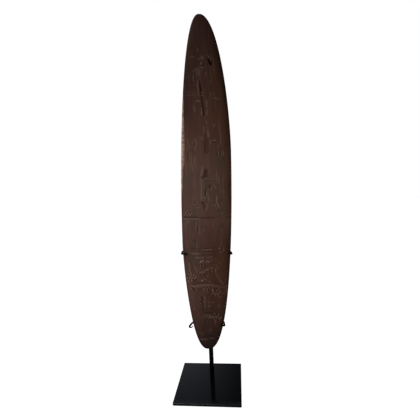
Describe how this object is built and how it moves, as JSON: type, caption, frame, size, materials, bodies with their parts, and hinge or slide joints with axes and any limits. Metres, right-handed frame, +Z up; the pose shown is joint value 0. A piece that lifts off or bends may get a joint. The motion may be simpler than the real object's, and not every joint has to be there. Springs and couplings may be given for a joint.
{
  "type": "carved wooden shield",
  "caption": "Long narrow carved hardwood shield with a grip cut from its back, upright in the rod cradle of a black steel display stand that it lifts out of.",
  "frame": {"origin": "middle of the square base plate on the ground, the bottom centre of the whole object", "axes": "+Z up, along the shield; -Y towards the viewer of the carved front; +X to that viewer's right"},
  "size_m": [0.1524, 0.1524, 0.8629],
  "materials": {
    "shield_wood": "dark reddish brown hardwood with old hand polish",
    "black_steel": "satin black paint",
    "plain_steel": "plain zinc grey",
    "black_felt": "thin pressed felt",
    "black_tubing": "matt black shrink tubing"
  },
  "bodies": {
    "stand": {"base_felt": "black_felt", "base_plate": "black_steel", "base_screw": "plain_steel", "post": "black_steel", "grub_screw": "plain_steel"},
    "cradle": {"stem": "black_steel", "lower_crossbar": "black_steel", "lower_left_hook": "black_steel", "lower_left_sleeve": "black_tubing", "lower_left_wrap": "black_felt", "lower_right_hook": "black_steel", "lower_right_sleeve": "black_tubing", "lower_right_wrap": "black_felt", "upper_crossbar": "black_steel", "upper_left_hook": "black_steel", "upper_left_sleeve": "black_tubing", "upper_left_wrap": "black_felt", "upper_right_hook": "black_steel", "upper_right_sleeve": "black_tubing", "upper_right_wrap": "black_felt"},
    "shield": {"shield_body": "shield_wood"}
  },
  "joints": [
    {"name": "cradle_turn", "type": "hinge", "parent": "stand", "child": "cradle", "pos_m": [0.0037, 0.0221, 0.1], "axis": [0, 0, 1], "continuous": true},
    {"name": "shield_lift", "type": "slide", "parent": "cradle", "child": "shield", "axis": [0, 0, 1], "range_m": [0, 0.26]}
  ]
}
